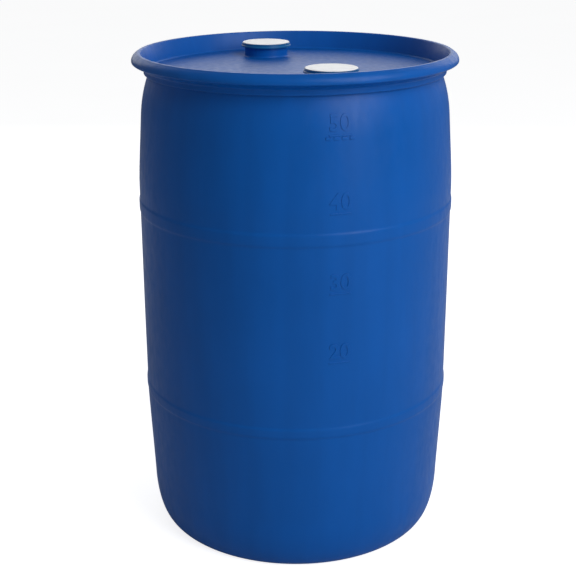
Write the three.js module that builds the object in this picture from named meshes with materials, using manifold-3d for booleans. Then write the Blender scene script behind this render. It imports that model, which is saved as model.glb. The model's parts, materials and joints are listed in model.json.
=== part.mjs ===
// Tight-head plastic chemical drum, about 208 litres, with a welded handling ring and two screw
// closures. Millimetres, +Z up; the origin is the centre of the base, on the floor.
import * as THREE from 'three';
import { mergeVertices } from 'three/addons/utils/BufferGeometryUtils.js';
import Module from 'manifold-3d';

const wasm = await Module();
wasm.setup();

// ---- Driving dimensions -------------------------------------------------------------------
const HEIGHT = 899; // floor to the flat top of the handling ring
const WALL = 4; // blow-moulded wall
const GAP = 0.3; // kept between pieces that touch
const OVERLAP = 0.5; // how far joined solids reach into each other
const CHAMFER = 1; // on the small edges of the ring and the plugs

const BODY_SEGMENTS = 48;
const CLOSURE_SEGMENTS = 24; // also the steps in each turn of a thread
const OUTSIDE_STEPS = 6; // in each curve of the drum's outside
const INSIDE_STEPS = 2;
const RING_STEPS = 4;

// Barrel, from the floor up
const MID_RADIUS = 287;
const CONTACT_INNER = 222;
const CONTACT_OUTER = 252.5;
const DISH_HEIGHT = 13; // how far the middle of the base stands off the floor
const DISH_EDGE = [206, 10]; // radius and height
const HEEL_TOP_RADIUS = 279.2;
const HEEL_TOP = 91.8;
const LOWER_TAPER_TOP = 252;
const LOWER_HOOP = [267, 288];
const UPPER_HOOP = [614, 639];
const HOOP_EDGE = 3.5; // height of each of a hoop's two slopes
const HOOP_RELIEF = 1.5;
const UPPER_TAPER_BOTTOM = 678;
const SHOULDER_RADIUS = 279.5;
const SHOULDER_BOTTOM = 781;
const SHOULDER_BEND = [278, 822]; // radius and height of the curve's control point
const NECK_RADIUS = 264.6;
const NECK_BOTTOM = 857.5;
const HEAD_TOP = 866.5; // outside face of the recessed head
const HEAD_CORNER = 3;

// Handling ring
const RING_RADIUS = 292;
const RING_WIDEST = [884, 887]; // bottom and top of the widest band
const RING_FOOT_RADIUS = 271;
const RING_FOOT = [862.5, 871.5]; // bottom and top
const RING_LIP = [276.5, 281.5]; // inner and outer radius of the flat top
// Points of the ring's curves, as radius and height. A bend is a curve's control point.
const RING_FLARE_BEND = [275, 877];
const RING_FLARE_END = [287, 880];
const RING_EDGE_BEND = [292, 881.5];
const RING_FACE_BEND = [290.5, 894];
const RING_INNER_BEND = [271, 886];
const RING_INNER_FOOT = [267, 867.5];
const RING_BORE_TOP = 866;

// Closures
const CLOSURE_RADIUS = 176; // from the middle of the closures' line to each closure's axis
const CLOSURE_SHIFT = 2.5; // from the drum's axis to that middle, along X
const FRONT_ANGLE = THREE.MathUtils.degToRad(-70.7);
const BOSS_RADIUS = 41;
const BOSS_HEIGHT = 19; // above the head
const BOSS_BORE = 33;
const INSERT_FLANGE_RADIUS = 38;
const INSERT_FLANGE = 4.5;
const THREAD_CLEARANCE = 0.5; // radial
const GASKET = { inner: 30.6, outer: 38.5, height: 1.6 };
const PLUG_FLANGE_RADIUS = 47;
const PLUG_BAND_RADIUS = 45.8; // above the flange's lower rim
const PLUG_FLANGE_HEIGHT = 7;
const PLUG_RIM_HEIGHT = 2.8;
const PLUG_SKIRT_INNER = 42;
const PLUG_SKIRT_DROP = 3.7;
const PLUG_DEPTH = 22.5; // threaded cup below the flange
const THREAD_DROP = 1; // from the middle of the cup down to the middle of its thread
const CUP_WALL = 5.2;
const CUP_FLOOR = 4;
const LUG = { width: 7, height: 12, reach: 9 }; // wrench lugs inside the cup
const SEAL_RADIUS = 44.2;
const SEAL_THICKNESS = 1;
const SEAL_EDGE = 0.4;
const SEAL_SKIRT = { wall: 1.2, depth: 4.5 };

// Thread forms. crest and root are the ridge's edges below and above its middle, as fractions of
// the pitch.
const BUTTRESS = {
  pitch: 4,
  major: 28,
  depth: 2.4,
  crest: [-0.075, 0.15],
  root: [-0.3, 0.225],
  turns: 3,
};
const PIPE = {
  pitch: 25.4 / 11.5,
  major: 29.8,
  depth: 1.4,
  crest: [-0.1, 0.1],
  root: [-0.27, 0.27],
  turns: 4.5,
};

// ---- Solids -------------------------------------------------------------------------------
function toManifold(geometry) {
  const bare = geometry.clone();
  bare.deleteAttribute('normal');
  bare.deleteAttribute('uv');
  const merged = mergeVertices(bare, 1e-4);
  const mesh = new wasm.Mesh({
    numProp: 3,
    vertProperties: merged.attributes.position.array,
    triVerts: new Uint32Array(merged.index.array),
  });
  return new wasm.Manifold(mesh);
}

function toGeometry(manifold) {
  const mesh = manifold.getMesh();
  const geometry = new THREE.BufferGeometry();
  geometry.setAttribute('position', new THREE.BufferAttribute(mesh.vertProperties, 3));
  geometry.setIndex(new THREE.BufferAttribute(mesh.triVerts, 1));
  geometry.computeVertexNormals();
  return geometry;
}

// Turns a half section, given as a path of (radius, height), about the Z axis.
function revolve(path, segments, curveSteps = 6) {
  const points = path.getPoints(curveSteps);
  return new THREE.LatheGeometry(points, segments).rotateX(Math.PI / 2);
}

function pathThrough(points) {
  const path = new THREE.Path();
  path.setFromPoints(points.map(([radius, height]) => new THREE.Vector2(radius, height)));
  return path;
}

function tube(inner, outer, bottom, top, segments) {
  const section = [[inner, bottom], [outer, bottom], [outer, top], [inner, top], [inner, bottom]];
  return revolve(pathThrough(section), segments);
}

function disc(radius, bottom, top, segments) {
  return revolve(pathThrough([[0, bottom], [radius, bottom], [radius, top], [0, top]]), segments);
}

// A thread ridge: a straight bar of the ridge's section, bent round the Z axis into a helix. It
// stands out from the root radius to the crest radius, and sinks into the root at both ends. A
// ridge that faces outwards is bent from its far end, which keeps its faces outwards too. One
// that faces inwards is upside down and starts half a turn round, so it runs between the turns
// of the other.
function threadRidge(form, rootRadius, crestRadius) {
  const direction = Math.sign(crestRadius - rootRadius);
  const startAngle = direction > 0 ? 0 : Math.PI;
  const height = Math.abs(crestRadius - rootRadius);
  const [rootLow, rootHigh] = form.root.map((fraction) => fraction * form.pitch * direction);
  const [crestLow, crestHigh] = form.crest.map((fraction) => fraction * form.pitch * direction);
  const section = new THREE.Shape([
    new THREE.Vector2(-2 * OVERLAP, rootLow),
    new THREE.Vector2(height, crestLow),
    new THREE.Vector2(height, crestHigh),
    new THREE.Vector2(-2 * OVERLAP, rootHigh),
  ]);
  const sweep = form.turns * 2 * Math.PI;
  const runOut = Math.PI / 4;
  const geometry = new THREE.ExtrudeGeometry(section, {
    depth: sweep,
    steps: form.turns * CLOSURE_SEGMENTS,
    bevelEnabled: false,
  });
  const position = geometry.attributes.position;
  for (let i = 0; i < position.count; i += 1) {
    const along = position.getZ(i);
    const fade = Math.min(1, along / runOut, (sweep - along) / runOut);
    const out = position.getX(i);
    const standing = out < 0 ? out : out * fade - OVERLAP * (1 - fade);
    const radius = rootRadius + direction * standing;
    const turned = direction > 0 ? sweep - along : along;
    const angle = startAngle + turned;
    const rise = (form.pitch * (turned - sweep / 2)) / (2 * Math.PI);
    const x = radius * Math.cos(angle);
    const y = radius * Math.sin(angle);
    position.setXYZ(i, x, y, THREAD_MIDDLE + rise + position.getY(i));
  }
  return geometry;
}

// ---- Drum shell ---------------------------------------------------------------------------
// A rolling hoop, a shallow band that stands out from the wall.
function addHoop(path, [bottom, top], wallRadius) {
  path.lineTo(wallRadius, bottom);
  path.lineTo(wallRadius + HOOP_RELIEF, bottom + HOOP_EDGE);
  path.lineTo(wallRadius + HOOP_RELIEF, top - HOOP_EDGE);
  path.lineTo(wallRadius, top);
}

// Half section of the barrel, moved inwards by inset, from the middle of the base to the middle
// of the head.
function barrelPath(inset) {
  const path = new THREE.Path();
  path.moveTo(0, DISH_HEIGHT + inset);
  path.lineTo(DISH_EDGE[0] - inset, DISH_EDGE[1] + inset);
  path.lineTo(CONTACT_INNER - inset, inset);
  path.lineTo(CONTACT_OUTER, inset);
  path.absellipse(
    CONTACT_OUTER,
    HEEL_TOP,
    HEEL_TOP_RADIUS - CONTACT_OUTER - inset,
    HEEL_TOP - inset,
    -Math.PI / 2,
    0,
    false,
  );
  path.lineTo(MID_RADIUS - inset, LOWER_TAPER_TOP);
  for (const hoop of [LOWER_HOOP, UPPER_HOOP]) {
    addHoop(path, hoop, MID_RADIUS - inset);
  }
  path.lineTo(MID_RADIUS - inset, UPPER_TAPER_BOTTOM);
  path.lineTo(SHOULDER_RADIUS - inset, SHOULDER_BOTTOM);
  path.quadraticCurveTo(
    SHOULDER_BEND[0] - inset,
    SHOULDER_BEND[1],
    NECK_RADIUS - inset,
    NECK_BOTTOM,
  );
  path.lineTo(NECK_RADIUS - inset, HEAD_TOP - HEAD_CORNER - inset);
  path.quadraticCurveTo(
    NECK_RADIUS - inset,
    HEAD_TOP - inset,
    NECK_RADIUS - HEAD_CORNER - inset,
    HEAD_TOP - inset,
  );
  path.lineTo(0, HEAD_TOP - inset);
  return path;
}

const closurePlaces = [
  { name: 'front', angle: FRONT_ANGLE, form: BUTTRESS },
  { name: 'rear', angle: FRONT_ANGLE + Math.PI, form: PIPE },
].map((place) => ({
  ...place,
  x: CLOSURE_SHIFT + CLOSURE_RADIUS * Math.cos(place.angle),
  y: CLOSURE_RADIUS * Math.sin(place.angle),
}));

const BOSS_TOP = HEAD_TOP + BOSS_HEIGHT;

function shellGeometry() {
  const outside = toManifold(revolve(barrelPath(0), BODY_SEGMENTS, OUTSIDE_STEPS));
  const inside = toManifold(revolve(barrelPath(WALL), BODY_SEGMENTS, INSIDE_STEPS));
  let shell = outside.subtract(inside);
  for (const { x, y } of closurePlaces) {
    const boss = disc(BOSS_RADIUS, HEAD_TOP - OVERLAP, BOSS_TOP, CLOSURE_SEGMENTS);
    const bore = disc(BOSS_BORE, HEAD_TOP - 2 * WALL, BOSS_TOP + OVERLAP, CLOSURE_SEGMENTS);
    shell = shell
      .add(toManifold(boss.translate(x, y, 0)))
      .subtract(toManifold(bore.translate(x, y, 0)));
  }
  return toGeometry(shell);
}

// ---- Handling ring ------------------------------------------------------------------------
function ringGeometry() {
  const bore = NECK_RADIUS + GAP;
  const [footBottom, footTop] = RING_FOOT;
  const [lipInner, lipOuter] = RING_LIP;
  const [widestBottom, widestTop] = RING_WIDEST;
  const path = new THREE.Path();
  path.moveTo(bore, footBottom);
  path.lineTo(RING_FOOT_RADIUS - CHAMFER, footBottom);
  path.lineTo(RING_FOOT_RADIUS, footBottom + CHAMFER);
  path.lineTo(RING_FOOT_RADIUS, footTop);
  path.quadraticCurveTo(...RING_FLARE_BEND, ...RING_FLARE_END);
  path.quadraticCurveTo(...RING_EDGE_BEND, RING_RADIUS, widestBottom);
  path.lineTo(RING_RADIUS, widestTop);
  path.quadraticCurveTo(...RING_FACE_BEND, lipOuter + CHAMFER, HEIGHT - CHAMFER);
  path.lineTo(lipOuter, HEIGHT);
  path.lineTo(lipInner, HEIGHT);
  path.lineTo(lipInner - CHAMFER, HEIGHT - CHAMFER);
  path.quadraticCurveTo(...RING_INNER_BEND, ...RING_INNER_FOOT);
  path.lineTo(bore, RING_BORE_TOP);
  path.lineTo(bore, footBottom);
  return revolve(path, BODY_SEGMENTS, RING_STEPS);
}

// ---- Closure pieces, each about its own axis at x = y = 0 ---------------------------------
const GASKET_BOTTOM = BOSS_TOP + GAP;
const FLANGE_BOTTOM = GASKET_BOTTOM + GASKET.height + GAP;
const PLUG_TOP = FLANGE_BOTTOM + PLUG_FLANGE_HEIGHT - PLUG_SKIRT_DROP;
const PLUG_BOTTOM = FLANGE_BOTTOM - PLUG_DEPTH;
const INSERT_BOTTOM = HEAD_TOP - WALL - GAP - INSERT_FLANGE;
const THREAD_MIDDLE = (PLUG_BOTTOM + FLANGE_BOTTOM) / 2 - THREAD_DROP;

function insertGeometry(form) {
  const outer = BOSS_BORE - GAP;
  const root = form.major + THREAD_CLEARANCE;
  const crest = form.major - form.depth + THREAD_CLEARANCE;
  const flangeTop = INSERT_BOTTOM + INSERT_FLANGE;
  const sleeve = pathThrough([
    [root, INSERT_BOTTOM],
    [INSERT_FLANGE_RADIUS, INSERT_BOTTOM],
    [INSERT_FLANGE_RADIUS, flangeTop],
    [outer, flangeTop],
    [outer, BOSS_TOP],
    [root, BOSS_TOP],
    [root, INSERT_BOTTOM],
  ]);
  const ridge = toManifold(threadRidge(form, root, crest));
  return toGeometry(toManifold(revolve(sleeve, CLOSURE_SEGMENTS)).add(ridge));
}

function plugGeometry(form) {
  const root = form.major - form.depth;
  const cup = root - CUP_WALL;
  const skirtBottom = FLANGE_BOTTOM - PLUG_SKIRT_DROP;
  const rimTop = skirtBottom + PLUG_RIM_HEIGHT;
  const body = pathThrough([
    [0, PLUG_BOTTOM],
    [root - CHAMFER, PLUG_BOTTOM],
    [root, PLUG_BOTTOM + CHAMFER],
    [root, FLANGE_BOTTOM],
    [PLUG_SKIRT_INNER, FLANGE_BOTTOM],
    [PLUG_SKIRT_INNER, skirtBottom],
    [PLUG_FLANGE_RADIUS, skirtBottom],
    [PLUG_FLANGE_RADIUS, rimTop],
    [PLUG_BAND_RADIUS, rimTop + CHAMFER],
    [PLUG_BAND_RADIUS, PLUG_TOP - CHAMFER],
    [PLUG_BAND_RADIUS - CHAMFER, PLUG_TOP],
    [cup, PLUG_TOP],
    [cup, PLUG_BOTTOM + CUP_FLOOR],
    [0, PLUG_BOTTOM + CUP_FLOOR],
  ]);
  let plug = toManifold(revolve(body, CLOSURE_SEGMENTS));
  plug = plug.add(toManifold(threadRidge(form, root, form.major)));
  const lugLength = LUG.reach + CUP_WALL / 2;
  for (const side of [-1, 1]) {
    const lug = new THREE.BoxGeometry(lugLength, LUG.width, LUG.height + OVERLAP);
    const x = side * (cup - LUG.reach + lugLength / 2);
    const z = PLUG_BOTTOM + CUP_FLOOR + (LUG.height - OVERLAP) / 2;
    plug = plug.add(toManifold(lug.translate(x, 0, z)));
  }
  return toGeometry(plug);
}

function gasketGeometry() {
  const top = GASKET_BOTTOM + GASKET.height;
  return tube(GASKET.inner, GASKET.outer, GASKET_BOTTOM, top, CLOSURE_SEGMENTS);
}

function sealGeometry(form) {
  const bottom = PLUG_TOP + GAP;
  const top = bottom + SEAL_THICKNESS;
  const skirtOuter = form.major - form.depth - CUP_WALL - 2 * GAP;
  const skirtInner = skirtOuter - SEAL_SKIRT.wall;
  const path = pathThrough([
    [0, bottom],
    [skirtInner, bottom],
    [skirtInner, bottom - SEAL_SKIRT.depth],
    [skirtOuter, bottom - SEAL_SKIRT.depth],
    [skirtOuter, bottom],
    [SEAL_RADIUS, bottom],
    [SEAL_RADIUS, top - SEAL_EDGE],
    [SEAL_RADIUS - SEAL_EDGE, top],
    [0, top],
  ]);
  return revolve(path, CLOSURE_SEGMENTS);
}

// ---- Materials ----------------------------------------------------------------------------
const plastic = (color, roughness) => new THREE.MeshStandardMaterial({ color, roughness });
const drumBlue = () => plastic(0x1b56a4, 0.42);
const insertBlue = () => plastic(0x17478c, 0.45);
const plugBlue = () => plastic(0x1a5596, 0.4);
const gasketGrey = () => plastic(0xc9ccd0, 0.8);
const sealWhite = () => plastic(0xf2f4fa, 0.45);

function named(name, geometry, material) {
  const mesh = new THREE.Mesh(geometry, material);
  mesh.name = name;
  return mesh;
}

// ---- Assembly -----------------------------------------------------------------------------
const drum = new THREE.Group();
drum.add(named('drum_shell', shellGeometry(), drumBlue()));
drum.add(named('handling_ring', ringGeometry(), drumBlue()));

for (const { name, x, y, form } of closurePlaces) {
  const closure = new THREE.Group();
  closure.position.set(x, y, 0);
  closure.add(named(`${name}_neck_insert`, insertGeometry(form), insertBlue()));
  closure.add(named(`${name}_plug_gasket`, gasketGeometry(), gasketGrey()));
  closure.add(named(`${name}_plug`, plugGeometry(form), plugBlue()));
  closure.add(named(`${name}_tamper_seal`, sealGeometry(form), sealWhite()));
  drum.add(closure);
}

export default drum;
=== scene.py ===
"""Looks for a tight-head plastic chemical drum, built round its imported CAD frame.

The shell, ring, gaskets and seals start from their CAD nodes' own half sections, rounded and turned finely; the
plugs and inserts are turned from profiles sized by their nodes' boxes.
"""

import json
import math

import bmesh
import bpy
from mathutils import Matrix, Vector, noise
from mathutils.geometry import delaunay_2d_cdt


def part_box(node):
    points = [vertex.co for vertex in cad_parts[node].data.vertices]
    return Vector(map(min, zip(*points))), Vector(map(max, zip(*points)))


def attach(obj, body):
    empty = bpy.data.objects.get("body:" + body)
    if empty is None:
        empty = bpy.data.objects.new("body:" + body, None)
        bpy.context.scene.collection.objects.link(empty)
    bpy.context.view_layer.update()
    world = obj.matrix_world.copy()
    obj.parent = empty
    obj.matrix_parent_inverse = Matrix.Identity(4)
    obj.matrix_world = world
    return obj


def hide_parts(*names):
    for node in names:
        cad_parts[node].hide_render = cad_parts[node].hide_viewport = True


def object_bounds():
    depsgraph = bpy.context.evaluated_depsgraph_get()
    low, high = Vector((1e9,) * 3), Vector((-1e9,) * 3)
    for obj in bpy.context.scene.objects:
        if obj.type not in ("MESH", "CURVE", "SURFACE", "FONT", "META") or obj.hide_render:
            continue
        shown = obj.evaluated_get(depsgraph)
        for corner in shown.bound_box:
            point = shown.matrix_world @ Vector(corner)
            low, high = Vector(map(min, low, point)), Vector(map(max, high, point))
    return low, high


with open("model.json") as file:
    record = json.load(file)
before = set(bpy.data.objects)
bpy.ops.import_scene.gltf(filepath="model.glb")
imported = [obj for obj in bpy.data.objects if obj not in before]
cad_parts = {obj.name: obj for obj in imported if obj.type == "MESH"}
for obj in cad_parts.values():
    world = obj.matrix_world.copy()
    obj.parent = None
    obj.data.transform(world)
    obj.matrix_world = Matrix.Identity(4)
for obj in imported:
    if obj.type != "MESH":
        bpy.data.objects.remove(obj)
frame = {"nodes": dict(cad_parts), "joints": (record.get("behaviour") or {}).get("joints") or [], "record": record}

MM = 0.001
TURN = 2 * math.pi
TINY = 0.001 * MM  # points of a CAD mesh that are nearer than this are one point
MERGE = 0.005 * MM  # the same, for the points of a piece made here
SAME = 0.01 * MM  # radii and heights that differ by less than this are the same
CAD_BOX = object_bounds()

# Rounding of half sections
STRAIGHT_SINE = 0.002  # a chain that turns less than this runs straight on
STRAIGHT_BEND = math.radians(0.3)
SHARP_BEND = math.radians(20)
SHARP_STEPS = 6
GENTLE_STEPS = 3
GENTLE_REACH = 40 * MM
FLAT_WEIGHT = 80  # how far large faces lead the shading, where 50 is neutral

# Shell
BODY_SEGMENTS = 256
CLOSURE_SEGMENTS = 96
WAVE_HEIGHT = 0.3 * MM  # how far the blown wall strays from a true round
WAVE_LENGTH = 170 * MM
HEAD_GRID = 7 * MM
HEAD_BAND_HALF = 58 * MM  # a shallow raised band on the head, along the closures' line
HEAD_BAND_RISE = 0.9 * MM
HEAD_BAND_EDGE = 12 * MM
NECK_FILLET = 4 * MM
PARTING_WIDTH = 1.6 * MM
PARTING_RISE = 0.25 * MM
WALL_FADE = 60 * MM  # how far from the floor and the head the waves fade out
HEAD_FADE = 24 * MM
WALL_STEP = 16 * MM
HEEL_ROUND = 4 * MM
RING_ROUND = 1.2 * MM
RING_STEP = 2.5 * MM

# Closures
WELD_GAP = 0.3 * MM  # between a neck's bore and its insert
NECK_BORE = 33 * MM
NECK_RADIUS = 41 * MM
NECK_ROUND = 1.2 * MM
THREADS = {
    "front": {
        "major": 28 * MM,
        "depth": 2.4 * MM,
        "crest": (-0.075, 0.15),
        "root": (-0.3, 0.225),
        "turns": 3,
    },
    "rear": {
        "major": 29.8 * MM,
        "depth": 1.4 * MM,
        "crest": (-0.1, 0.1),
        "root": (-0.27, 0.27),
        "turns": 4.5,
    },
}
THREAD_CLEARANCE = 0.5 * MM
THREAD_RUN_OUT = TURN / 8
THREAD_ROWS = 10  # in each pitch
THREAD_DROP = 1 * MM  # from the middle of the cup to the middle of its thread
INSERT_FLANGE_RADIUS = 38 * MM
INSERT_FLANGE = 4.5 * MM
CUP_DEPTH = 22.5 * MM
CUP_WALL = 5.2 * MM
CUP_FLOOR = 4 * MM
PLUG_SKIRT_INNER = 42 * MM
PLUG_SKIRT_DROP = 3.7 * MM
PLUG_RIM_HEIGHT = 2.8 * MM
PLUG_BAND_STEP = 1.2 * MM  # from the flange's lower rim in to its band
CHAMFER = 1 * MM
CHAMFER_STEPS = 3
SMALL_ROUND = 0.7 * MM
LUG_WIDTH = 7 * MM
LUG_HEIGHT = 12 * MM
LUG_REACH = 9 * MM
SEAL_GROOVE = (38 * MM, 1.5 * MM, 0.3 * MM)  # radius, half width and depth
SEAL_STEP = 0.6 * MM
SEAL_MARK = (6 * MM, 1.2 * MM, 0.25 * MM)  # a plain ring in the middle: radius, half width, relief

# Level scale on the wall, with plain numbers
SCALE_ANGLE = math.radians(-90 + 15.2)
SCALE_LEVELS = ((50, 818), (40, 690), (30, 552), (20, 428))  # number, and height in mm
SCALE_NUMBER = 38 * MM  # size of the numbers' font
SCALE_STROKE = 0.5 * MM  # how much bolder than the font the numbers are, on each side
SCALE_CURVE_STEPS = 8  # in each curve of a number's outline
SCALE_BAR = (38 * MM, 3 * MM)
SCALE_DASH = (9 * MM, 5 * MM)
SCALE_DASHES = 4  # below the top level's bar
SCALE_DASH_PITCH = 13.5 * MM
SCALE_LONGEST_EDGE = 6 * MM  # longer edges are cut in three before a mark is bent onto the wall
MARK_RELIEF = 0.9 * MM
MARK_SINK = 1.5 * MM
MARK_ROUND_STEPS = 2
NUMBER_BEVEL = MARK_RELIEF / 4

# Noise in moulded plastic, in repeats per metre
CLOUDS = 5.0
FLOW_STREAKS = 30.0
SCUFFS = 90.0
DENTS = 60.0
ORANGE_PEEL = 700.0

# Camera
CAMERA_PLACE = (0, -2.1514, 1.19)
CAMERA_DOWN = math.radians(19.036)
CAMERA_TURN = math.radians(-0.376)
CAMERA_ROLL = math.radians(-0.217)
CAMERA_LENS = 74.33
CAMERA_SENSOR = 36

# Stage. The floor and the backdrop glow white only for the camera, and light the drum less.
FLOOR_RADIUS = 20
FLOOR_MIDDLE = 2.5
FLOOR_GLOW = 0.82
WORLD_LIGHT = 0.22

# Softboxes: azimuth (0 is in front, 90 to the right) and elevation in degrees, distance, size and
# radiance
SOFTBOXES = {
    "key": (47, 38, 4.0, (2.6, 2.6), 3.9),
    "glint": (42, 14, 3.2, (0.8, 0.8), 5.0),
    "side": (110, 20, 3.0, (2.0, 2.4), 0.2),
    "back": (178, 28, 3.2, (6.0, 2.2), 1.2),
}


# ---- Reading the frame ----------------------------------------------------------------------
JOINTS = {joint["name"]: joint for joint in frame["joints"]}
COUPLINGS = {link["follows"]: link for link in frame["record"]["behaviour"]["couplings"]}


def closure_axis(end):
    """Where a closure's axis stands in plan. The closures are named by their end of the head."""
    x, y, _ = JOINTS[f"{end}_plug_turn"]["pos_m"]
    return x, y


def pitch_of(end):
    """How far a closure's plug rises in one turn."""
    return COUPLINGS[f"{end}_plug_turn"]["ratio"] * TURN


def half_sections(node, axis=(0, 0)):
    """Where a plane through a CAD node's axis cuts it, as chains of (radius, height)."""
    cut = bmesh.new()
    cut.from_mesh(frame["nodes"][node].data)
    bmesh.ops.remove_doubles(cut, verts=cut.verts, dist=TINY)
    centre = (axis[0], axis[1], 0)
    everything = cut.verts[:] + cut.edges[:] + cut.faces[:]
    bmesh.ops.bisect_plane(
        cut, geom=everything, dist=TINY, plane_co=centre, plane_no=(-1, 0, 0), clear_outer=True
    )
    everything = cut.verts[:] + cut.edges[:] + cut.faces[:]
    found = bmesh.ops.bisect_plane(cut, geom=everything, dist=TINY, plane_co=centre, plane_no=(0, 1, 0))
    links = {}
    for part in found["geom_cut"]:
        if isinstance(part, bmesh.types.BMEdge):
            first, last = part.verts
            links.setdefault(first, []).append(last)
            links.setdefault(last, []).append(first)
    chains = []
    while links:
        ends = [v for v, others in links.items() if len(others) == 1]
        here = ends[0] if ends else next(iter(links))
        chain = [here]
        while links.get(here):
            following = links[here].pop()
            links[following].remove(here)
            here = following
            chain.append(here)
        chains.append([(v.co.x - axis[0], v.co.z) for v in chain])
        links = {v: others for v, others in links.items() if others}
    cut.free()
    return [straightened(chain) for chain in chains]


def straightened(points):
    """The same chain without the points that lie on a straight run."""
    kept = [points[0]]
    for here, after in zip(points[1:-1], points[2:]):
        before = kept[-1]
        a = (here[0] - before[0], here[1] - before[1])
        b = (after[0] - here[0], after[1] - here[1])
        lengths = math.hypot(*a) * math.hypot(*b)
        if lengths and abs(a[0] * b[1] - a[1] * b[0]) > STRAIGHT_SINE * lengths:
            kept.append(here)
    return kept + [points[-1]]


# ---- Profiles and turned meshes ---------------------------------------------------------------
def bend_at(before, here, after):
    """How far a chain turns at a point, in radians."""
    into = math.atan2(here[1] - before[1], here[0] - before[0])
    out = math.atan2(after[1] - here[1], after[0] - here[0])
    return abs((out - into + math.pi) % TURN - math.pi)


def rounded(points, reach, closed=False):
    """Rounds a chain's corners. A sharp one keeps its rounding within reach, and a gentle one,
    which is a step of a curve, is rounded as far as half way along its sides."""
    if closed:
        points = points[:-1] if math.dist(points[0], points[-1]) < TINY else points
        corners = range(len(points))
    else:
        corners = range(1, len(points) - 1)
    made = [] if closed else [points[0]]
    for i in corners:
        before, here, after = points[i - 1], points[i], points[(i + 1) % len(points)]
        bend = bend_at(before, here, after)
        if bend < STRAIGHT_BEND:
            made.append(here)
            continue
        within = reach if bend > SHARP_BEND else GENTLE_REACH
        sides = []
        for other in (before, after):
            share = min(0.5, within / math.dist(here, other))
            sides.append([h + (o - h) * share for h, o in zip(here, other)])
        start, end = sides
        steps = SHARP_STEPS if bend > SHARP_BEND else GENTLE_STEPS
        for step in range(steps + 1):
            t = step / steps
            weights = ((1 - t) ** 2, 2 * t * (1 - t), t * t)
            point = tuple(
                weights[0] * s + weights[1] * h + weights[2] * e for s, h, e in zip(start, here, end)
            )
            if not made or math.dist(made[-1], point) > SAME:
                made.append(point)
    made.append(made[0] if closed else points[-1])
    return made


def spaced(points, longest, radius=None):
    """The chain with its sides cut into steps no longer than longest, or only the sides that
    stand at a radius."""
    made = [points[0]]
    for before, after in zip(points, points[1:]):
        count = max(1, math.ceil(math.dist(before, after) / longest))
        if radius and max(abs(before[0] - radius), abs(after[0] - radius)) > SAME:
            count = 1
        for step in range(1, count + 1):
            made.append(tuple(b + (a - b) * step / count for b, a in zip(before, after)))
    return made


def turned(mesh, points, segments, centre=(0, 0), shape=None):
    """Adds a chain of (radius, height), turned about a vertical axis, to a bmesh. A shape is a
    function that moves each (radius, height, angle) to a new (radius, height)."""
    rows = []
    for radius, height in points:
        if radius < SAME:
            rows.append([mesh.verts.new((centre[0], centre[1], height))] * segments)
            continue
        row = []
        for step in range(segments):
            angle = TURN * step / segments
            r, z = shape(radius, height, angle) if shape else (radius, height)
            place = (centre[0] + r * math.cos(angle), centre[1] + r * math.sin(angle), z)
            row.append(mesh.verts.new(place))
        rows.append(row)
    for lower, upper in zip(rows, rows[1:]):
        for step in range(segments):
            after = (step + 1) % segments
            corners = [lower[step], lower[after], upper[after], upper[step]]
            corners = [v for i, v in enumerate(corners) if v not in corners[:i]]
            if len(corners) > 2:
                mesh.faces.new(corners)


def add_block(mesh, middle, size, reach, steps):
    """Adds a box to a bmesh, with its edges rounded within reach."""
    made = bmesh.ops.create_cube(mesh, size=1)["verts"]
    place = Matrix.LocRotScale(Vector(middle), None, Vector(size))
    bmesh.ops.transform(mesh, matrix=place, verts=made)
    edges = list(dict.fromkeys(edge for vert in made for edge in vert.link_edges))
    bmesh.ops.bevel(mesh, geom=edges, offset=reach, segments=steps, affect="EDGES", profile=0.5)


def in_scene(name, data):
    """A new object with this data, linked to the scene."""
    made = bpy.data.objects.new(name, data)
    bpy.context.scene.collection.objects.link(made)
    return made


def smooth_object(name, mesh, material):
    """Turns a bmesh into a smooth object, whose normals point outwards."""
    bmesh.ops.remove_doubles(mesh, verts=mesh.verts, dist=MERGE)
    bmesh.ops.recalc_face_normals(mesh, faces=mesh.faces)
    for face in mesh.faces:
        face.smooth = True
    data = bpy.data.meshes.new(name)
    mesh.to_mesh(data)
    mesh.free()
    data.materials.append(material)
    return in_scene(name, data)


def finish_piece(name, mesh, material, body, node=None):
    """Makes a smooth piece from a bmesh, on a CAD body, in place of its CAD node if it has one."""
    piece = smooth_object(name, mesh, material)
    flats = piece.modifiers.new("flat faces stay flat", "WEIGHTED_NORMAL")
    flats.weight = FLAT_WEIGHT
    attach(piece, body)
    if node:
        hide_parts(node)


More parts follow.
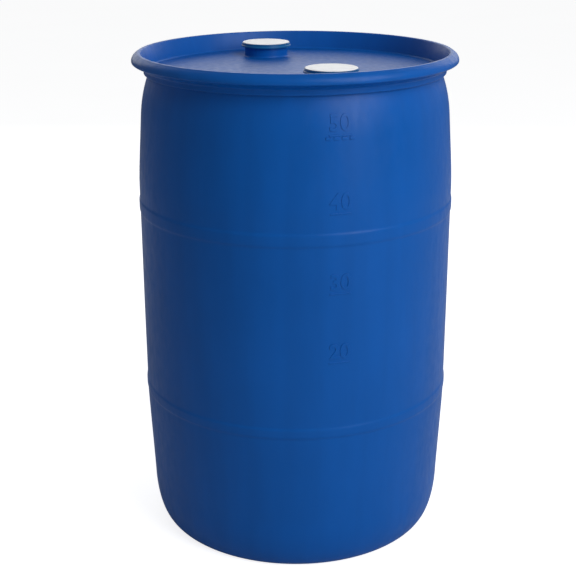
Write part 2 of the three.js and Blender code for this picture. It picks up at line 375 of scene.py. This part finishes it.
# ---- Materials --------------------------------------------------------------------------------
class Nodes:
    """A material's node tree, with a short way to add nodes and links."""

    def __init__(self, name):
        self.material = bpy.data.materials.new(name)
        self.material.use_nodes = True
        self.tree = self.material.node_tree
        self.shader = self.tree.nodes["Principled BSDF"]
        self.place = self.add("ShaderNodeTexCoord").outputs["Object"]

    def add(self, kind, **values):
        node = self.tree.nodes.new(kind)
        for name, value in values.items():
            setattr(node, name, value)
        return node

    def link(self, output, socket):
        self.tree.links.new(output, socket)

    def noise(self, scale, detail=2, stretch=(1, 1, 1)):
        mapping = self.add("ShaderNodeMapping")
        mapping.inputs["Scale"].default_value = stretch
        self.link(self.place, mapping.inputs["Vector"])
        texture = self.add("ShaderNodeTexNoise")
        texture.inputs["Scale"].default_value = scale
        texture.inputs["Detail"].default_value = detail
        self.link(mapping.outputs["Vector"], texture.inputs["Vector"])
        return texture.outputs["Fac"]

    def ramp(self, factor, *stops):
        """Maps a factor through two (position, colour) stops."""
        ramp = self.add("ShaderNodeValToRGB")
        for element, (position, colour) in zip(ramp.color_ramp.elements, stops):
            element.position = position
            element.color = (*colour, 1)
        self.link(factor, ramp.inputs["Fac"])
        return ramp.outputs["Color"]

    def multiply(self, first, second):
        """Multiplies two colours. A mix node's colours are its sockets 6, 7 and, for the result, 2."""
        mix = self.add("ShaderNodeMix", data_type="RGBA", blend_type="MULTIPLY")
        mix.inputs["Factor"].default_value = 1.0
        self.link(first, mix.inputs[6])
        self.link(second, mix.inputs[7])
        return mix.outputs[2]

    def range(self, factor, low, high, start=0.0, end=1.0):
        span = self.add("ShaderNodeMapRange")
        span.inputs["From Min"].default_value = start
        span.inputs["From Max"].default_value = end
        span.inputs["To Min"].default_value = low
        span.inputs["To Max"].default_value = high
        self.link(factor, span.inputs["Value"])
        return span.outputs["Result"]

    def bump(self, height, distance, after=None):
        bump = self.add("ShaderNodeBump")
        bump.inputs["Distance"].default_value = distance
        self.link(height, bump.inputs["Height"])
        if after:
            self.link(after, bump.inputs["Normal"])
        return bump.outputs["Normal"]


def moulded_plastic(name, dark, light, roughness, gloss, streaks=1.0, peel=0.03, dents=0.12):
    """Moulded plastic: clouds and flow streaks in the colour, scuffs in the sheen, and orange peel
    and dents, whose heights are in mm. Streaks is how much finer than the drum's the streaks are."""
    nodes = Nodes(name)
    clouds = nodes.noise(CLOUDS, detail=4)
    flow = nodes.noise(FLOW_STREAKS * streaks, detail=3, stretch=(1, 1, 0.12))
    base = nodes.ramp(clouds, (0.3, dark), (0.7, light))
    streak = nodes.ramp(flow, (0.35, (0.93, 0.93, 0.93)), (0.65, (1, 1, 1)))
    nodes.link(nodes.multiply(base, streak), nodes.shader.inputs["Base Color"])
    scuffs = nodes.noise(SCUFFS, detail=6, stretch=(1, 1, 0.5))
    sheen = nodes.range(scuffs, roughness - 0.05, roughness + 0.07, 0.35, 0.7)
    nodes.link(sheen, nodes.shader.inputs["Roughness"])
    fine = nodes.bump(nodes.noise(ORANGE_PEEL, detail=2), peel * MM)
    relief = nodes.bump(nodes.noise(DENTS, detail=3), dents * MM, fine)
    nodes.link(relief, nodes.shader.inputs["Normal"])
    nodes.shader.inputs["Specular IOR Level"].default_value = gloss
    return nodes.material


def drum_plastic():
    """Satin blow-moulded polyethylene, in a deep blue."""
    return moulded_plastic("drum_blue", (0.001, 0.102, 0.44), (0.002, 0.112, 0.48), 0.38, 0.2)


def plug_plastic():
    """The plugs' blue, which is greener and duller than the drum's."""
    return moulded_plastic("plug_blue", (0.003, 0.12, 0.33), (0.005, 0.13, 0.36), 0.35, 0.3)


def insert_plastic():
    """The inserts' darker blue."""
    return moulded_plastic("insert_blue", (0.004, 0.07, 0.28), (0.005, 0.08, 0.31), 0.4, 0.35)


def seal_plastic():
    """White polyethylene, glossier and smoother than the blue plastics."""
    dark = (0.95, 0.97, 1.0)
    light = (0.97, 0.985, 1.0)
    return moulded_plastic("seal_white", dark, light, 0.34, 0.9, streaks=2.0, peel=0.01, dents=0.03)


def gasket_rubber():
    """Dull pale grey rubber."""
    dark = (0.50, 0.51, 0.53)
    light = (0.58, 0.59, 0.61)
    return moulded_plastic("gasket_grey", dark, light, 0.75, 0.3, streaks=3.0, peel=0.05)


def floor_paint():
    """A pale floor, which glows only for the camera."""
    nodes = Nodes("floor")
    tint = nodes.ramp(nodes.noise(1.5), (0.3, (0.58, 0.59, 0.61)), (0.7, (0.60, 0.61, 0.63)))
    nodes.link(tint, nodes.shader.inputs["Base Color"])
    nodes.shader.inputs["Roughness"].default_value = 0.9
    nodes.shader.inputs["Specular IOR Level"].default_value = 0.0
    nodes.shader.inputs["Emission Color"].default_value = (1, 1, 1, 1)
    path = nodes.add("ShaderNodeLightPath")
    glow = nodes.range(path.outputs["Is Camera Ray"], 0.0, FLOOR_GLOW)
    nodes.link(glow, nodes.shader.inputs["Emission Strength"])
    return nodes.material


# ---- Drum shell -------------------------------------------------------------------------------
CLOSURES = {end: closure_axis(end) for end in ("front", "rear")}
LINE_MIDDLE = (Vector(CLOSURES["front"]) + Vector(CLOSURES["rear"])) / 2
LINE_ANGLE = math.atan2(CLOSURES["front"][1] - LINE_MIDDLE.y, CLOSURES["front"][0] - LINE_MIDDLE.x)


def rising(chain):
    """The chain from its lower end to its upper one."""
    return chain if chain[0][1] < chain[-1][1] else chain[::-1]


def shell_profiles():
    """The half sections of the shell's outside and inside, each up to the rim of its head."""
    chains = [rising(chain) for chain in half_sections("drum_shell")]
    chains.sort(key=lambda chain: chain[0][1])
    outside, inside = [rounded(chain[:-1], HEEL_ROUND) for chain in chains]
    return spaced(outside, WALL_STEP), inside


OUTSIDE, INSIDE = shell_profiles()


def eased(value):
    """A smooth step from 0 to 1."""
    value = min(1, max(0, value))
    return value * value * (3 - 2 * value)


def wave(x, y, height):
    """How far a blown wall strays at a point: smooth, and the same every run."""
    return WAVE_HEIGHT * noise.noise(Vector((x, y, height)) / WAVE_LENGTH)


def parting(angle, radius):
    """The rise of the mould's parting line, which runs up the wall at the closures' angle."""
    off = abs((angle - LINE_ANGLE + math.pi / 2) % math.pi - math.pi / 2) * radius
    return PARTING_RISE * max(0, 1 - off / PARTING_WIDTH)


def outside_shape(radius, height, angle):
    """Strays the wall and raises its parting line, but not near the floor or the head."""
    head = OUTSIDE[-1][1]
    fade = eased(min(height, head - height) / WALL_FADE)
    stray = wave(radius * math.cos(angle), radius * math.sin(angle), height)
    return radius + fade * (stray + parting(angle, radius)), height


def head_rise(x, y, height):
    """The head's own shape at a point: its shallow band and its waves."""
    off = Vector((x, y)) - LINE_MIDDLE
    across = abs(off.y * math.cos(LINE_ANGLE) - off.x * math.sin(LINE_ANGLE))
    band = HEAD_BAND_RISE * (1 - eased((across - HEAD_BAND_HALF) / HEAD_BAND_EDGE))
    return band + wave(x, y, height)


def circle(centre, radius, count):
    angles = (TURN * step / count for step in range(count))
    return [Vector((centre[0] + radius * math.cos(a), centre[1] + radius * math.sin(a))) for a in angles]


def head_face(mesh, rim_radius, height, hole_radius):
    """A face inside the head's rim, with a hole round each closure's axis."""
    points = []
    edges = []
    loops = [circle((0, 0), rim_radius, BODY_SEGMENTS)]
    loops += [circle(axis, hole_radius, CLOSURE_SEGMENTS) for axis in CLOSURES.values()]
    for loop in loops:
        first = len(points)
        points += loop
        edges += [(first + i, first + (i + 1) % len(loop)) for i in range(len(loop))]

    def room(place):
        """How far a place on the head is from the nearest edge of the face."""
        from_holes = min(math.dist(place, axis) for axis in CLOSURES.values()) - hole_radius
        return min(rim_radius - math.hypot(*place), from_holes)

    count = math.ceil(rim_radius / HEAD_GRID)
    for i in range(-count, count + 1):
        for j in range(-count, count + 1):
            place = Vector(((i + 0.5 * (j % 2)) * HEAD_GRID, j * HEAD_GRID))
            if room(place) > HEAD_GRID / 2:
                points.append(place)
    places, _, faces, *_ = delaunay_2d_cdt(points, edges, [], 0, TINY)
    verts = []
    for x, y in places:
        rise = head_rise(x, y, height) * eased(room((x, y)) / HEAD_FADE)
        verts.append(mesh.verts.new((x, y, height + rise)))
    for face in faces:
        middle = sum((places[i] for i in face), Vector((0, 0))) / len(face)
        if room(middle) > 0:
            mesh.faces.new([verts[i] for i in face])


def neck_profile(foot, head_top, head_under, boss_top):
    """A neck's half section, from a fillet on the head over its top and down its bore."""
    corners = [
        (foot + NECK_FILLET, head_top),
        (foot, head_top),
        (foot, boss_top),
        (NECK_BORE, boss_top),
        (NECK_BORE, head_under),
    ]
    fillet = rounded(corners[:3], NECK_FILLET)
    top = rounded(corners[1:], NECK_ROUND)
    return fillet[:-1] + top[1:]


def make_shell(material):
    """The wall outside and inside, the head's two faces, and a neck through them at each closure."""
    boss_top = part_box("drum_shell")[1].z
    mesh = bmesh.new()
    turned(mesh, OUTSIDE, BODY_SEGMENTS, shape=outside_shape)
    turned(mesh, INSIDE, BODY_SEGMENTS)
    heads = [profile[-1] for profile in (OUTSIDE, INSIDE)]
    for (rim, height), hole in zip(heads, (NECK_RADIUS + NECK_FILLET, NECK_BORE)):
        head_face(mesh, rim, height, hole)
    profile = neck_profile(NECK_RADIUS, heads[0][1], heads[1][1], boss_top)
    for axis in CLOSURES.values():
        turned(mesh, profile, CLOSURE_SEGMENTS, axis)
    finish_piece("shell", mesh, material, "drum", "drum_shell")


# ---- Handling ring ----------------------------------------------------------------------------
def ring_shape(radius, height, angle):
    """Strays the ring half as far as the wall."""
    stray = wave(radius * math.cos(angle), radius * math.sin(angle), height)
    return radius + stray / 2, height


def make_ring(material):
    section = half_sections("handling_ring")[0]
    profile = spaced(rounded(section, RING_ROUND, closed=True), RING_STEP)
    mesh = bmesh.new()
    turned(mesh, profile, BODY_SEGMENTS, shape=ring_shape)
    finish_piece("ring", mesh, material, "drum", "handling_ring")


# ---- Closures ---------------------------------------------------------------------------------
def thread_shape(end, root, middle, direction):
    """Raises a right-handed thread on the wall at the root radius: outwards where direction is 1,
    inwards where it is -1, on the same lead as the CAD's."""
    form = THREADS[end]
    pitch = pitch_of(end)
    start = 0 if direction > 0 else math.pi
    sweep = form["turns"] * TURN
    root_low, root_high = form["root"]
    crest_low, crest_high = form["crest"]

    def shape(radius, height, angle):
        if abs(radius - root) > SAME:
            return radius, height
        turns = (height - middle) / pitch + form["turns"] / 2 - (angle - start) / TURN
        nearest = round(turns)
        off = (turns - nearest) * direction
        wound = angle - start + TURN * nearest
        fade = min(1, max(0, min(wound, sweep - wound) / THREAD_RUN_OUT))
        up = (off - root_low) / (crest_low - root_low)
        down = (root_high - off) / (root_high - crest_high)
        tooth = min(1, max(0, min(up, down)))
        return radius + direction * form["depth"] * tooth * fade, height

    return shape


def add_lug(mesh, centre, side, cup, floor):
    """One wrench lug, a rounded bar that stands on the cup's floor and against its wall."""
    length = LUG_REACH + CUP_WALL / 2
    middle = (centre[0] + side * (cup - LUG_REACH + length / 2), centre[1], floor + LUG_HEIGHT / 2)
    add_block(mesh, middle, (length, LUG_WIDTH, LUG_HEIGHT), CHAMFER, CHAMFER_STEPS)


def make_plug(end, material):
    """A threaded cup under a flange with a skirt, with two wrench lugs inside the cup."""
    axis = CLOSURES[end]
    low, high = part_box(f"{end}_plug")
    radius = (high.x - low.x) / 2
    root = THREADS[end]["major"] - THREADS[end]["depth"]
    cup = root - CUP_WALL
    floor = low.z + CUP_FLOOR
    flange_bottom = low.z + CUP_DEPTH
    skirt_bottom = flange_bottom - PLUG_SKIRT_DROP
    rim_top = skirt_bottom + PLUG_RIM_HEIGHT
    band = radius - PLUG_BAND_STEP
    corners = [
        (0, low.z),
        (root - CHAMFER, low.z),
        (root, low.z + CHAMFER),
        (root, flange_bottom),
        (PLUG_SKIRT_INNER, flange_bottom),
        (PLUG_SKIRT_INNER, skirt_bottom),
        (radius, skirt_bottom),
        (radius, rim_top),
        (band, rim_top + CHAMFER),
        (band, high.z),
        (cup, high.z),
        (cup, floor),
        (0, floor),
    ]
    profile = spaced(rounded(corners, SMALL_ROUND), pitch_of(end) / THREAD_ROWS, radius=root)
    middle = (low.z + flange_bottom) / 2 - THREAD_DROP
    mesh = bmesh.new()
    turned(mesh, profile, CLOSURE_SEGMENTS, axis, thread_shape(end, root, middle, 1))
    for side in (-1, 1):
        add_lug(mesh, axis, side, cup, floor)
    finish_piece(f"{end}_screw_plug", mesh, material, f"{end}_plug_body", f"{end}_plug")


def make_insert(end, material):
    """A tube with an inward thread, and a flange at its foot."""
    low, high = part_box(f"{end}_neck_insert")
    plug_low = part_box(f"{end}_plug")[0].z
    outer = NECK_BORE - WELD_GAP
    root = THREADS[end]["major"] + THREAD_CLEARANCE
    corners = [
        (root, low.z),
        (INSERT_FLANGE_RADIUS, low.z),
        (INSERT_FLANGE_RADIUS, low.z + INSERT_FLANGE),
        (outer, low.z + INSERT_FLANGE),
        (outer, high.z),
        (root, high.z),
    ]
    section = rounded(corners, SMALL_ROUND / 2, closed=True)
    profile = spaced(section, pitch_of(end) / THREAD_ROWS, radius=root)
    middle = plug_low + CUP_DEPTH / 2 - THREAD_DROP
    mesh = bmesh.new()
    turned(mesh, profile, CLOSURE_SEGMENTS, CLOSURES[end], thread_shape(end, root, middle, -1))
    finish_piece(f"{end}_insert", mesh, material, "drum", f"{end}_neck_insert")


def make_gasket(end, material):
    axis = CLOSURES[end]
    node = f"{end}_plug_gasket"
    section = half_sections(node, axis)[0]
    mesh = bmesh.new()
    turned(mesh, rounded(section, SMALL_ROUND, closed=True), CLOSURE_SEGMENTS, axis)
    finish_piece(f"{end}_gasket", mesh, material, f"{end}_gasket_body", node)


def bead(radius, middle, half_width, relief):
    """A rounded bead or groove at a radius."""
    return relief * eased(1 - abs(radius - middle) / half_width)


def make_seal(end, material):
    axis = CLOSURES[end]
    node = f"{end}_tamper_seal"
    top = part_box(node)[1].z

    def shape(radius, height, angle):
        """Raises the mark and sinks the groove on the seal's top."""
        if height < top - SAME:
            return radius, height
        return radius, height + bead(radius, *SEAL_MARK) - bead(radius, *SEAL_GROOVE)

    section = half_sections(node, axis)[0]
    profile = spaced(rounded(section, SMALL_ROUND), SEAL_STEP)
    mesh = bmesh.new()
    turned(mesh, profile, CLOSURE_SEGMENTS, axis, shape)
    finish_piece(f"{end}_seal", mesh, material, f"{end}_seal_body", node)


# ---- Level scale ------------------------------------------------------------------------------
def wall_radius(height):
    """The shell's outside radius at a height on its wall."""
    for lower, upper in zip(OUTSIDE, OUTSIDE[1:]):
        if lower[1] < upper[1] and lower[1] <= height <= upper[1]:
            share = (height - lower[1]) / (upper[1] - lower[1])
            return lower[0] + (upper[0] - lower[0]) * share
    raise ValueError(f"the shell has no wall at a height of {height} m")


def bend_onto_wall(mesh, angle, height):
    """Bends a flat mesh, drawn in x and z with its relief towards -y, onto the shell's wall."""
    for vert in mesh.verts:
        z = height + vert.co.z
        wall = wall_radius(z)
        turn = angle + vert.co.x / wall
        radius = outside_shape(wall, z, turn)[0] - vert.co.y
        vert.co = Vector((radius * math.cos(turn), radius * math.sin(turn), z))


def add_bar(mesh, x, z, width, height):
    """A rounded bar that stands off the wall by the marks' relief."""
    depth = MARK_SINK + MARK_RELIEF
    middle = (x, depth / 2 - MARK_RELIEF, z)
    add_block(mesh, middle, (width, depth, height), MARK_RELIEF / 2, MARK_ROUND_STEPS)


def add_number(mesh, number):
    """A number in the built-in font, drawn in x and z, with its relief towards -y."""
    curve = bpy.data.curves.new("number", "FONT")
    curve.body = str(number)
    curve.size = SCALE_NUMBER
    curve.offset = SCALE_STROKE
    curve.resolution_u = SCALE_CURVE_STEPS
    curve.extrude = (MARK_SINK + MARK_RELIEF) / 2 - NUMBER_BEVEL
    curve.bevel_depth = NUMBER_BEVEL
    curve.align_x = "CENTER"
    curve.align_y = "CENTER"
    text = bpy.data.objects.new("number", curve)
    data = bpy.data.meshes.new_from_object(text)
    data.transform(Matrix.Rotation(math.pi / 2, 4, "X"))
    data.transform(Matrix.Translation((0, (MARK_SINK - MARK_RELIEF) / 2, 0)))
    mesh.from_mesh(data)
    bpy.data.objects.remove(text)
    bpy.data.curves.remove(curve)
    bpy.data.meshes.remove(data)


def add_dashes(mesh, z):
    """A plain row of dashes, which stands for the unit's lettering."""
    for step in range(SCALE_DASHES):
        x = (step - (SCALE_DASHES - 1) / 2) * SCALE_DASH_PITCH
        add_bar(mesh, x, z, *SCALE_DASH)


def make_scale(material):
    """A number over a bar at each level, with dashes below the top one."""
    mesh = bmesh.new()
    top = max(height for _, height in SCALE_LEVELS)
    for number, height in SCALE_LEVELS:
        level = bmesh.new()
        add_number(level, number)
        add_bar(level, 0, -SCALE_NUMBER / 2, *SCALE_BAR)
        if height == top:
            add_dashes(level, -SCALE_NUMBER / 2 - SCALE_DASH[1])
        long_edges = [edge for edge in level.edges if edge.calc_length() > SCALE_LONGEST_EDGE]
        bmesh.ops.subdivide_edges(level, edges=long_edges, cuts=2)
        bmesh.ops.triangulate(level, faces=level.faces)
        bend_onto_wall(level, SCALE_ANGLE, height * MM)
        part = bpy.data.meshes.new("level")
        level.to_mesh(part)
        level.free()
        mesh.from_mesh(part)
        bpy.data.meshes.remove(part)
    finish_piece("level_scale", mesh, material, "drum")


# ---- Stage ------------------------------------------------------------------------------------
def make_floor():
    mesh = bmesh.new()
    turned(mesh, [(0, 0), (FLOOR_MIDDLE, 0), (FLOOR_RADIUS, 0)], BODY_SEGMENTS)
    floor = smooth_object("floor", mesh, floor_paint())
    if floor.data.polygons[0].normal.z < 0:
        floor.data.flip_normals()


def add_softbox(name, azimuth, elevation, distance, size, radiance):
    """An area light that faces the middle of the drum, and that the camera doesn't see."""
    light = bpy.data.lights.new(name, "AREA")
    light.shape = "RECTANGLE"
    light.size, light.size_y = size
    light.energy = radiance * math.pi * size[0] * size[1]
    lamp = in_scene(name, light)
    low, high = CAD_BOX
    middle = (Vector(low) + Vector(high)) / 2
    turn, lift = math.radians(azimuth), math.radians(elevation)
    way = Vector((math.sin(turn) * math.cos(lift), -math.cos(turn) * math.cos(lift), math.sin(lift)))
    lamp.location = middle + way * distance
    lamp.rotation_euler = way.to_track_quat("Z", "Y").to_euler()
    lamp.visible_camera = False


def make_world():
    """A white backdrop for the camera, which lights the drum only dimly."""
    world = bpy.data.worlds.new("studio")
    world.use_nodes = True
    tree = world.node_tree
    background = tree.nodes["Background"]
    path = tree.nodes.new("ShaderNodeLightPath")
    strength = tree.nodes.new("ShaderNodeMapRange")
    strength.inputs["To Min"].default_value = WORLD_LIGHT
    strength.inputs["To Max"].default_value = 1.0
    tree.links.new(path.outputs["Is Camera Ray"], strength.inputs["Value"])
    tree.links.new(strength.outputs["Result"], background.inputs["Strength"])
    background.inputs["Color"].default_value = (1, 1, 1, 1)
    bpy.context.scene.world = world


def make_camera():
    camera = bpy.data.cameras.new("camera")
    camera.lens = CAMERA_LENS
    camera.sensor_width = CAMERA_SENSOR
    view = in_scene("camera", camera)
    look = Matrix.Rotation(-CAMERA_TURN, 4, "Z") @ Matrix.Rotation(math.pi / 2 - CAMERA_DOWN, 4, "X")
    view.matrix_world = Matrix.Translation(CAMERA_PLACE) @ look @ Matrix.Rotation(CAMERA_ROLL, 4, "Z")
    bpy.context.scene.camera = view


# ---- The scene --------------------------------------------------------------------------------
drum_blue = drum_plastic()
plug_blue = plug_plastic()
insert_blue = insert_plastic()
seal_white = seal_plastic()
gasket_grey = gasket_rubber()

make_shell(drum_blue)
make_ring(drum_blue)
make_scale(drum_blue)
for end in CLOSURES:
    make_insert(end, insert_blue)
    make_gasket(end, gasket_grey)
    make_plug(end, plug_blue)
    make_seal(end, seal_white)

make_floor()
make_world()
for name, values in SOFTBOXES.items():
    add_softbox(name, *values)
make_camera()
bpy.context.scene.view_settings.view_transform = "Standard"
